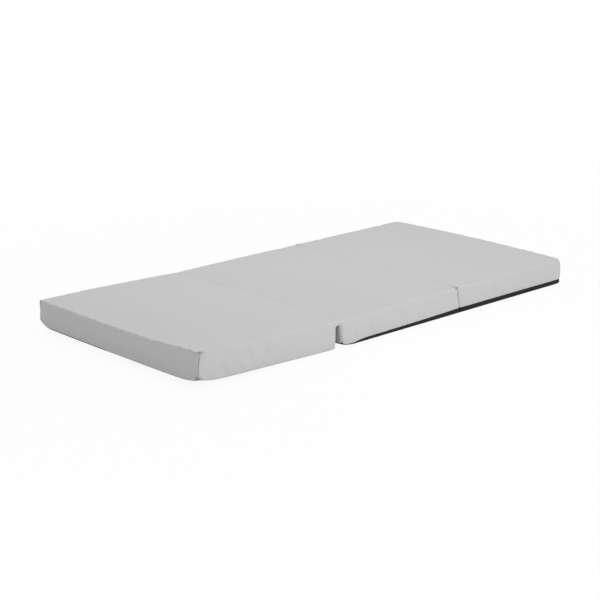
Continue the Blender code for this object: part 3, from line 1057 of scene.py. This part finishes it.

# %% [markdown]
# Up the corners of the free ends three panels are drawn into one thick seam. The shade that falls
# into that seam is painted into the cloth's colour: a thin darker line along it, darkest at its two
# tips, where the panels meet. That painted shade belongs to the place and not to a panel, so every
# grey panel near a corner carries it as an attribute, which its material reads.

# %% Painted shade in the corner seams
LINE_SHADE = 0.30
LINE_SHADE_REACH = 0.0013
TIP_SHADES = (0.85, 0.65)
TIP_SHADE_REACH = 0.0052
FREE_ENDS = [(head, "low", 1.0), (foot, "high", 0.3)]


def paint_corner_shade(item):
    """Writes the painted shade of a panel at each point, from the corner seams near it."""
    points = vertex_values(item.data, "co")
    shade = np.zeros(len(points))
    for section, end, strength in FREE_ENDS:
        for side in ("front", "back"):
            row = section["skin"]["seams"][f"corner_{end}_{side}"]
            seam = section["placed"][row]
            away = distances(points, dense_line(seam)[0])[0]
            # painted shade: a thin dark line along each corner seam, and darker spots at its tips
            line = LINE_SHADE * bell(away, LINE_SHADE_REACH)
            shade = np.maximum(shade, line * strength)
            for tip, depth in zip((seam[0], seam[-1]), TIP_SHADES):
                away = np.linalg.norm(points - tip, axis=1)
                shade = np.maximum(shade, depth * bell(away, TIP_SHADE_REACH) * strength)
    layer = item.data.attributes.new("seam_shade", "FLOAT", "POINT")
    layer.data.foreach_set("value", shade)
    return int((shade > 0.1).sum())


for item in list(cloths.values()) + [top_cloth]:
    if item["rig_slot"] == "grey_fabric":
        print(item.name, "has", paint_corner_shade(item), "points in a dark seam")

# %% [markdown]
# ## Foam blocks
#
# Each section is filled by one cut block of foam. It hardly shows, but the cover's cloth lies
# on it, and without it an opened zip would show a hollow. The block is the skin moved inwards.

# %% Foam
FOAM_INSET = 0.0021


def foam_block(section):
    """The closed skin of a section, drawn in all round by the cloth and a little air."""
    skin = section["skin"]
    centre = np.array([(section["low"] + section["high"]) / 2, 0, THICKNESS / 2])
    half = np.array([(section["high"] - section["low"]) / 2, EDGE_Y, THICKNESS / 2])
    drawn_in = centre + (skin["points"] - centre) * (1 - FOAM_INSET / half)
    block = mesh_object(
        section["name"] + "_foam_block", as_placed(section, drawn_in), skin["faces"]
    )
    block.data.shade_smooth()
    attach(block, section["body"])
    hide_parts(section["name"] + "_foam_core")
    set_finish(block, "foam")
    return block


foams = [foam_block(section) for section in SECTIONS]
print("foam blocks:", [block.name for block in foams])

# %% [markdown]
# ## Zips
#
# A cover like this comes off through a zip in the back of each section. The two tapes are strips
# of the same skin, set just under the border's cloth, and they meet below the coil.

# %% Tapes
TAPE_DEPTH = 0.0012
TAPE_THICKNESS = 0.0006
TAPE_REACH = 0.013
TAPE_END_REACH = 0.006
tapes = []


def zip_tape(section, label):
    """One tape of a zip: the strip of the back above or below its middle."""
    skin = section["skin"]
    sign = 1 if label == "upper" else -1
    low, high = section["zip"]
    chosen = [
        face
        for face, place in zip(skin["faces"], skin["zip_places"])
        if place
        and 0 < place[1] * sign < TAPE_REACH
        and low - TAPE_END_REACH < place[0] < high + TAPE_END_REACH
    ]
    maps = [map_face(skin["points"], face, "back") for face in chosen]
    recessed = section["placed"] - np.array([0, TAPE_DEPTH, 0])
    node = f"{section['name']}_zip_{label}_tape"
    tape = cut_panel(node + "_cloth", recessed, chosen, maps, TAPE_THICKNESS)
    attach(tape, section["body"])
    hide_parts(node)
    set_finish(tape, "zip_tape")
    return tape


for section in SECTIONS:
    tapes += [zip_tape(section, label) for label in ("upper", "lower")]
print(len(tapes), "tapes of", len(tapes[0].data.polygons), "faces")

# %% [markdown]
# The coil between the tapes and the stitches round the opening each repeat one small shape
# hundreds of times, which is work for Geometry Nodes. A few helpers make and run a tree.

# %% Node helpers


def link(tree, source, node, name):
    """Links an output socket to a node's named input, or sets that input's value."""
    if isinstance(source, bpy.types.NodeSocket):
        tree.links.new(source, node.inputs[name])
    else:
        node.inputs[name].default_value = source


def set_inputs(tree, node, inputs):
    """Links or sets several inputs of a node."""
    for name, source in inputs.items():
        link(tree, source, node, name)


def add_node(tree, kind, inputs=None, **settings):
    """A node with its settings given by name, and its inputs as sockets or values."""
    node = tree.nodes.new(kind)
    for key, value in settings.items():
        setattr(node, key, value)
    set_inputs(tree, node, inputs or {})
    return node


def math_node(tree, operation, *values):
    """A Math node's output, from sockets or numbers."""
    return add_node(tree, "ShaderNodeMath", dict(enumerate(values)), operation=operation).outputs[0]


def vector_node(tree, x=0.0, y=0.0, z=0.0):
    """A vector from three sockets or numbers."""
    return add_node(tree, "ShaderNodeCombineXYZ", {"X": x, "Y": y, "Z": z}).outputs["Vector"]


def noise_node(tree, place, scale, detail):
    """A noise texture's value at a place."""
    inputs = {"Vector": place, "Scale": scale, "Detail": detail}
    return add_node(tree, "ShaderNodeTexNoise", inputs).outputs["Fac"]


def new_tree(name, sizes):
    """A Geometry Nodes tree with named sizes, and the sockets of its inputs by name."""
    tree = bpy.data.node_groups.new(name, "GeometryNodeTree")
    tree.interface.new_socket("Geometry", in_out="INPUT", socket_type="NodeSocketGeometry")
    for label in sizes:
        tree.interface.new_socket(label, in_out="INPUT", socket_type="NodeSocketFloat")
    tree.interface.new_socket("Material", in_out="INPUT", socket_type="NodeSocketMaterial")
    tree.interface.new_socket("Geometry", in_out="OUTPUT", socket_type="NodeSocketGeometry")
    return tree, tree.nodes.new("NodeGroupInput").outputs


def close_tree(tree, made, inputs):
    """Ends a tree in real, coloured geometry."""
    real = add_node(tree, "GeometryNodeRealizeInstances", {"Geometry": made})
    coloured = {"Geometry": real.outputs["Geometry"], "Material": inputs["Material"]}
    colour = add_node(tree, "GeometryNodeSetMaterial", coloured)
    add_node(tree, "NodeGroupOutput", {"Geometry": colour.outputs["Geometry"]})
    return tree


def run_tree(item, tree, values):
    """Runs a tree on an object, and makes the result its plain mesh."""
    changer = item.modifiers.new(tree.name, "NODES")
    changer.node_group = tree
    for socket in tree.interface.items_tree:
        if socket.in_out == "INPUT" and socket.name in values:
            changer[socket.identifier] = values[socket.name]
    bake(item)


# %% The coil's tree
TURN_STEPS = 6
WIRE_SIDES = 6


def coil_tree():
    """Bowed turns of wire across a line of points, alternately shifted up and down."""
    sizes = ("Turn Length", "Turn Height", "Wire Radius", "Shift")
    tree, inputs = new_tree("zip_coil", sizes)
    half = math_node(tree, "MULTIPLY", inputs["Turn Length"], 0.5)
    minus_half = math_node(tree, "MULTIPLY", inputs["Turn Length"], -0.5)
    ends = {
        "Resolution": TURN_STEPS,
        "Start": vector_node(tree, z=minus_half),
        "Middle": vector_node(tree, y=inputs["Turn Height"]),
        "End": vector_node(tree, z=half),
    }
    bend = add_node(tree, "GeometryNodeCurveQuadraticBezier", ends).outputs["Curve"]
    round_wire = {"Resolution": WIRE_SIDES, "Radius": inputs["Wire Radius"]}
    wire = add_node(tree, "GeometryNodeCurvePrimitiveCircle", round_wire).outputs["Curve"]
    sweep = {"Curve": bend, "Profile Curve": wire, "Fill Caps": True}
    turn = add_node(tree, "GeometryNodeCurveToMesh", sweep).outputs["Mesh"]
    spots = {"Points": inputs["Geometry"], "Instance": turn}
    turns = add_node(tree, "GeometryNodeInstanceOnPoints", spots).outputs["Instances"]
    number = add_node(tree, "GeometryNodeInputIndex").outputs["Index"]
    side = math_node(tree, "MULTIPLY_ADD", math_node(tree, "MODULO", number, 2), 2, -1)
    shift = vector_node(tree, z=math_node(tree, "MULTIPLY", side, inputs["Shift"]))
    move = {"Instances": turns, "Translation": shift}
    moved = add_node(tree, "GeometryNodeTranslateInstances", move).outputs["Instances"]
    return close_tree(tree, moved, inputs)


coil_nodes = coil_tree()
print("coil tree with", len(coil_nodes.nodes), "nodes")

# %% The stitches' tree
BEAD_SHAPE = {"Segments": 8, "Rings": 5, "Radius": 1.0}


def stitch_tree():
    """Short rounded stitches along a path, each pointing along it."""
    tree, inputs = new_tree("top_stitching", ("Stitch Pitch", "Stitch Length", "Thread Radius"))
    path = add_node(tree, "GeometryNodeMeshToCurve", {"Mesh": inputs["Geometry"]})
    pitch = {"Curve": path.outputs["Curve"], "Length": inputs["Stitch Pitch"]}
    spots = add_node(tree, "GeometryNodeCurveToPoints", pitch, mode="LENGTH").outputs
    tangent = {"Vector": spots["Tangent"]}
    along = add_node(tree, "FunctionNodeAlignRotationToVector", tangent, axis="X")
    bead = add_node(tree, "GeometryNodeMeshUVSphere", BEAD_SHAPE)
    half = math_node(tree, "MULTIPLY", inputs["Stitch Length"], 0.5)
    stitch = {
        "Points": spots["Points"],
        "Instance": bead.outputs["Mesh"],
        "Rotation": along.outputs["Rotation"],
        "Scale": vector_node(tree, half, inputs["Thread Radius"], inputs["Thread Radius"]),
    }
    place = add_node(tree, "GeometryNodeInstanceOnPoints", stitch)
    return close_tree(tree, place.outputs["Instances"], inputs)


stitch_nodes = stitch_tree()
print("stitch tree with", len(stitch_nodes.nodes), "nodes")

# %% [markdown]
# ## Materials
#
# The cover is a smooth, tightly woven polyester. Two sets of threads cross under and over, which
# is read from the map of the cloth in metres, so that the weave follows every panel. The same
# node group serves the grey cloth, the black cloth and the zip tapes, each with its own numbers.

# %% The weave
CLOUD_NOISE = (9.0, 4.0)
SLUB_NOISE = (900.0, 2.0)
SLUB_HEIGHT = 0.5
SLUB_ROUGHNESS = 0.10
MEAN_RIB = 0.6


def weave_group():
    """Crossing threads: a tone to multiply a colour by, a height, and a roughness shift."""
    tree = bpy.data.node_groups.new("plain_weave", "ShaderNodeTree")
    face = tree.interface
    for label, value in (("Thread Pitch", 0.0006), ("Thread Tone", 0.06), ("Cloudiness", 0.02)):
        socket = face.new_socket(label, in_out="INPUT", socket_type="NodeSocketFloat")
        socket.default_value = value
    for label in ("Tone", "Height", "Roughness Shift"):
        face.new_socket(label, in_out="OUTPUT", socket_type="NodeSocketFloat")
    inputs = tree.nodes.new("NodeGroupInput").outputs
    cloth = add_node(tree, "ShaderNodeUVMap", uv_map="cloth")
    split = add_node(tree, "ShaderNodeSeparateXYZ", {0: cloth.outputs["UV"]})
    sines = []
    for axis in ("X", "Y"):
        turn = math_node(tree, "DIVIDE", split.outputs[axis], inputs["Thread Pitch"])
        sines.append(math_node(tree, "SINE", math_node(tree, "MULTIPLY", turn, math.pi)))
    ribs = [math_node(tree, "ABSOLUTE", sine) for sine in sines]
    is_warp = math_node(tree, "GREATER_THAN", math_node(tree, "MULTIPLY", *sines), 0.0)
    is_weft = math_node(tree, "SUBTRACT", 1.0, is_warp)
    warp = math_node(tree, "MULTIPLY", ribs[0], is_warp)
    height = math_node(tree, "MULTIPLY_ADD", ribs[1], is_weft, warp)
    place = add_node(tree, "ShaderNodeTexCoord").outputs["Object"]
    cloud, slub = [
        math_node(tree, "SUBTRACT", noise_node(tree, place, scale, detail), 0.5)
        for scale, detail in (CLOUD_NOISE, SLUB_NOISE)
    ]
    rib_tone = math_node(tree, "SUBTRACT", height, MEAN_RIB)
    tone = math_node(tree, "MULTIPLY_ADD", rib_tone, inputs["Thread Tone"], 1.0)
    tone = math_node(tree, "MULTIPLY_ADD", cloud, inputs["Cloudiness"], tone)
    tone = math_node(tree, "MULTIPLY_ADD", slub, inputs["Thread Tone"], tone)
    outputs = {
        "Tone": tone,
        "Height": math_node(tree, "MULTIPLY_ADD", slub, SLUB_HEIGHT, height),
        "Roughness Shift": math_node(tree, "MULTIPLY", slub, SLUB_ROUGHNESS),
    }
    add_node(tree, "NodeGroupOutput", outputs)
    return tree


weave = weave_group()
print("weave group with", len(weave.nodes), "nodes")

# %% Cloth materials
MIX_A, MIX_B, MIX_RESULT = 6, 7, 2
BUMP_DISTANCE = 0.0001


def tinted(tree, colour, tone):
    """A colour multiplied by a tone."""
    mixed = {"Factor": 1.0, MIX_A: (*colour, 1), MIX_B: tone}
    tint = add_node(tree, "ShaderNodeMix", mixed, data_type="RGBA", blend_type="MULTIPLY")
    return tint.outputs[MIX_RESULT]


def new_material(name):
    """A material with its tree and its Principled shader."""
    material = bpy.data.materials.new(name)
    material.use_nodes = True
    return material, material.node_tree, material.node_tree.nodes["Principled BSDF"]


def cloth_material(name, colour, roughness, sheen, pitch, thread_tone, cloudiness, bump):
    """A woven cloth of one colour."""
    material, tree, shader = new_material(name)
    sizes = {"Thread Pitch": pitch, "Thread Tone": thread_tone, "Cloudiness": cloudiness}
    threads = add_node(tree, "ShaderNodeGroup", sizes, node_tree=weave).outputs
    # painted shade: the seam attribute darkens the cloth's colour along the corner seams
    seam = add_node(tree, "ShaderNodeAttribute", attribute_name="seam_shade")
    unshaded_share = math_node(tree, "SUBTRACT", 1.0, seam.outputs["Fac"])
    tone = math_node(tree, "MULTIPLY", threads["Tone"], unshaded_share)
    relief = {"Strength": bump, "Distance": BUMP_DISTANCE, "Height": threads["Height"]}
    inputs = {
        "Base Color": tinted(tree, colour, tone),
        "Roughness": math_node(tree, "ADD", threads["Roughness Shift"], roughness),
        "Normal": add_node(tree, "ShaderNodeBump", relief).outputs["Normal"],
        "Sheen Weight": sheen,
        "Sheen Roughness": 0.5,
        "Specular IOR Level": 0.25,
    }
    set_inputs(tree, shader, inputs)
    return material


LIGHT_GREY = (0.565, 0.565, 0.568)
NEAR_BLACK = (0.013, 0.012, 0.011)
TAPE_GREY = (0.36, 0.36, 0.37)
grey_cloth = cloth_material("light_grey_cover", LIGHT_GREY, 0.82, 0.05, 0.0006, 0.05, 0.03, 0.35)
black_cloth = cloth_material("black_underside", NEAR_BLACK, 0.85, 0.03, 0.0008, 0.25, 0.10, 0.5)
tape_cloth = cloth_material("zip_tape", TAPE_GREY, 0.75, 0.05, 0.0005, 0.12, 0.03, 0.6)
print("cloths:", grey_cloth.name, black_cloth.name, tape_cloth.name)

# %% Plain materials
FINISH_NOISE = (600.0, 3.0)
TONE_SPREAD = 0.16
ROUGHNESS_SPREAD = 0.2


def plain_material(name, colour, roughness, metallic=0.0):
    """A material of one colour with a fine, uneven finish read from its place."""
    material, tree, shader = new_material(name)
    place = add_node(tree, "ShaderNodeTexCoord").outputs["Object"]
    noise = noise_node(tree, place, *FINISH_NOISE)
    tone = math_node(tree, "MULTIPLY_ADD", noise, TONE_SPREAD, 1 - TONE_SPREAD / 2)
    low = roughness - ROUGHNESS_SPREAD / 2
    inputs = {
        "Base Color": tinted(tree, colour, tone),
        "Roughness": math_node(tree, "MULTIPLY_ADD", noise, ROUGHNESS_SPREAD, low),
        "Metallic": metallic,
    }
    set_inputs(tree, shader, inputs)
    return material


foam_material = plain_material("cut_foam", (0.80, 0.77, 0.66), 0.95)
coil_material = plain_material("zip_coil", (0.33, 0.33, 0.34), 0.45)
metal_material = plain_material("zip_metal", (0.45, 0.45, 0.46), 0.38, 1.0)
thread_material = plain_material("sewing_thread", (0.50, 0.50, 0.505), 0.6)
print("others:", foam_material.name, coil_material.name, metal_material.name, thread_material.name)

# %% Give each piece its material


def paint(item, material):
    """Makes a material the only one of an object."""
    item.data.materials.clear()
    item.data.materials.append(material)


for item in list(cloths.values()) + [top_cloth, under_cloth]:
    paint(item, black_cloth if item["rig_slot"] == "black_fabric" else grey_cloth)
for tape in tapes:
    paint(tape, tape_cloth)
for block in foams:
    paint(block, foam_material)

# %% [markdown]
# The coil is laid out as points down the middle of the chain, every other one a little above and
# the rest a little below, and the tree puts a turn of wire on each. Sliders and pulls are small
# cast pieces whose CAD shape is right, so they only get their metal.

# %% Zip coils, sliders and pulls
COIL_PITCH = 0.00115
COIL_END = 0.002
COIL_Y = WIDTH / 2 - 0.0008
COIL_SIZES = {
    "Turn Length": 0.0040,
    "Turn Height": 0.0024,
    "Wire Radius": 0.00048,
    "Shift": 0.0006,
}


def zip_coil(section):
    """The coil of one zip."""
    low, high = section["zip"]
    places = [(x, COIL_Y, ZIP_Z) for x in np.arange(low + COIL_END, high - COIL_END, COIL_PITCH)]
    coil = mesh_object(section["name"] + "_zip_coil", places, [])
    run_tree(coil, coil_nodes, {**COIL_SIZES, "Material": coil_material})
    flat = vertex_values(coil.data, "co")
    coil.data.vertices.foreach_set("co", as_placed(section, flat).ravel())
    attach(coil, section["body"])
    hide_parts(section["name"] + "_zip_chain")
    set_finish(coil, "zip_chain")
    print(coil.name, len(places), "turns,", len(coil.data.polygons), "faces")


for section in SECTIONS:
    zip_coil(section)
    for part in ("slider", "pull"):
        paint(frame["nodes"][f"{section['name']}_zip_{part}"], metal_material)

# %% [markdown]
# A zip is sewn in from outside, so one line of stitches shows all round its opening. Its path is
# a rectangle in the plane of the border, dropped on to the border's cloth from behind.

# %% Stitches round the zips
STITCH_MARGIN = 0.0022
STITCH_PROUD = 0.0001
STITCH_SIZES = {"Stitch Pitch": 0.0040, "Stitch Length": 0.0031, "Thread Radius": 0.00024}
BEHIND = 0.1


def stitch_path(section):
    """Points round the zip's opening, on the outside of the back border."""
    low, high = section["zip"]
    low, high = low - STITCH_MARGIN, high + STITCH_MARGIN
    reach = ZIP_HALF_HEIGHT + STITCH_MARGIN
    corners = [(low, -reach), (high, -reach), (high, reach), (low, reach), (low, -reach)]
    skin = section["skin"]
    surface = BVHTree.FromPolygons([Vector(point) for point in skin["points"]], skin["faces"])
    flat = []
    for start, stop in zip(corners, corners[1:]):
        count = max(2, round(math.dist(start, stop) / FINE_STEP))
        for i in range(count):
            x = start[0] + (stop[0] - start[0]) * i / count
            z = ZIP_Z + start[1] + (stop[1] - start[1]) * i / count
            hit = surface.ray_cast(Vector((x, EDGE_Y + BEHIND, z)), Vector((0, -1, 0)))[0]
            flat.append((x, hit.y + STITCH_PROUD, z))
    return as_placed(section, np.array(flat))


for section in SECTIONS:
    path = stitch_path(section)
    edges = [(i, (i + 1) % len(path)) for i in range(len(path))]
    stitches = mesh_object(section["name"] + "_zip_stitches", path, [], edges)
    run_tree(stitches, stitch_nodes, {**STITCH_SIZES, "Material": thread_material})
    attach(stitches, section["body"])
    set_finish(stitches, "grey_fabric")
    print(stitches.name, len(stitches.data.polygons), "faces")

# %% [markdown]
# ## Camera, floor and light
#
# The camera was fitted to the corners of the mattress. The light is that of a white tent: even
# from all round, weaker from the left, so that the head end is darker, with one low lamp in
# front and a weak one above. The floor shows almost white in the picture, and only a little of
# the object's shadow is left on it, least of all further away.

# %% Camera
AZIMUTH = math.radians(-41.60)
ELEVATION = math.radians(16.12)
ROLL = math.radians(-0.86)
DISTANCE = 3.718
FOCAL_PIXELS = 1533
PICTURE = 600
SENSOR = 36
AIM = Vector((-0.070, -0.0257, 0.0325))

camera_data = bpy.data.cameras.new("camera")
camera = bpy.data.objects.new("camera", camera_data)
bpy.context.scene.collection.objects.link(camera)
outwards = math.cos(ELEVATION)
back = Vector((math.sin(AZIMUTH) * outwards, -math.cos(AZIMUTH) * outwards, math.sin(ELEVATION)))
camera_data.sensor_width = SENSOR
camera_data.lens = FOCAL_PIXELS / PICTURE * SENSOR
camera_data.clip_start = 0.05
camera_data.clip_end = 200
camera.rotation_mode = "QUATERNION"
turn = (-back).to_track_quat("-Z", "Y") @ Matrix.Rotation(ROLL, 3, "Z").to_quaternion()
camera.rotation_quaternion = turn
camera.location = AIM + back * DISTANCE
bpy.context.scene.camera = camera
print("camera at", tuple(round(value, 3) for value in camera.location))

# %% Floor
FLOOR_REACH = 30
FLOOR_Z = -0.0004
FLOOR_BOUNCE = 0.80
FLOOR_LOOK = 0.90
NEAR_GLOW = 0.93
FAR_GLOW = 1.0
GLOW_START = 0.7
GLOW_END = 2.2

corners = [(-1, -1), (1, -1), (1, 1), (-1, 1)]
floor = mesh_object(
    "floor", [(x * FLOOR_REACH, y * FLOOR_REACH, FLOOR_Z) for x, y in corners], [[0, 1, 2, 3]]
)
floor_material, tree, shader = new_material("white_floor")
path = add_node(tree, "ShaderNodeLightPath")
seen = math_node(tree, "MAXIMUM", path.outputs["Is Camera Ray"], path.outputs["Is Glossy Ray"])
seen = math_node(tree, "MAXIMUM", seen, path.outputs["Is Transmission Ray"])
level = math_node(tree, "MULTIPLY_ADD", seen, FLOOR_LOOK - FLOOR_BOUNCE, FLOOR_BOUNCE)
matt = {"Roughness": 0.9, "Specular IOR Level": 0.1}
set_inputs(tree, shader, {"Base Color": vector_node(tree, level, level, level), **matt})
place = add_node(tree, "ShaderNodeTexCoord").outputs["Object"]
away = add_node(tree, "ShaderNodeVectorMath", {0: place}, operation="LENGTH")
span = {"From Min": GLOW_START, "From Max": GLOW_END, "To Min": NEAR_GLOW, "To Max": FAR_GLOW}
fade = add_node(tree, "ShaderNodeMapRange", {"Value": away.outputs["Value"], **span})
mixed = {
    "Fac": math_node(tree, "MULTIPLY", seen, fade.outputs["Result"]),
    1: shader.outputs["BSDF"],
    2: add_node(tree, "ShaderNodeEmission").outputs["Emission"],
}
blend = add_node(tree, "ShaderNodeMixShader", mixed)
link(tree, blend.outputs["Shader"], tree.nodes["Material Output"], "Surface")
paint(floor, floor_material)

# %% World and lamps
SKY_LEVEL = 0.925
LEFT_DIP = 0.40
KEY_POWER = 6.5
KEY_PLACE = (0.10, -1.90, 0.35)
OVERHEAD_POWER = 2.0
OVERHEAD_PLACE = (0.18, 0.10, 1.20)
LAMP_SIZE = 0.8
WHITE = (1, 1, 1, 1)

world = bpy.data.worlds.new("world")
bpy.context.scene.world = world
world.use_nodes = True
tree = world.node_tree
sky = tree.nodes["Background"]
direction = add_node(tree, "ShaderNodeTexCoord").outputs["Generated"]
split = add_node(tree, "ShaderNodeSeparateXYZ", {0: direction})
leftward = math_node(tree, "MINIMUM", split.outputs["X"], 0.0)
strength = math_node(tree, "MULTIPLY_ADD", leftward, LEFT_DIP, SKY_LEVEL)
set_inputs(tree, sky, {"Color": WHITE, "Strength": strength})
mixed = {
    "Fac": add_node(tree, "ShaderNodeLightPath").outputs["Is Camera Ray"],
    1: sky.outputs["Background"],
    2: add_node(tree, "ShaderNodeBackground", {"Color": WHITE}).outputs["Background"],
}
choose = add_node(tree, "ShaderNodeMixShader", mixed)
link(tree, choose.outputs["Shader"], tree.nodes["World Output"], "Surface")


def add_lamp(name, place, power):
    """A square area lamp that faces the mattress and isn't seen itself."""
    data = bpy.data.lights.new(name, "AREA")
    data.shape = "SQUARE"
    data.size = LAMP_SIZE
    data.energy = power
    lamp = bpy.data.objects.new(name, data)
    bpy.context.scene.collection.objects.link(lamp)
    lamp.location = place
    lamp.rotation_mode = "QUATERNION"
    lamp.rotation_quaternion = (-Vector(place)).to_track_quat("-Z", "Y")
    lamp.visible_camera = False


add_lamp("key", KEY_PLACE, KEY_POWER)
add_lamp("overhead", OVERHEAD_PLACE, OVERHEAD_POWER)

# %% View settings and sizes
bpy.context.scene.view_settings.view_transform = "Standard"
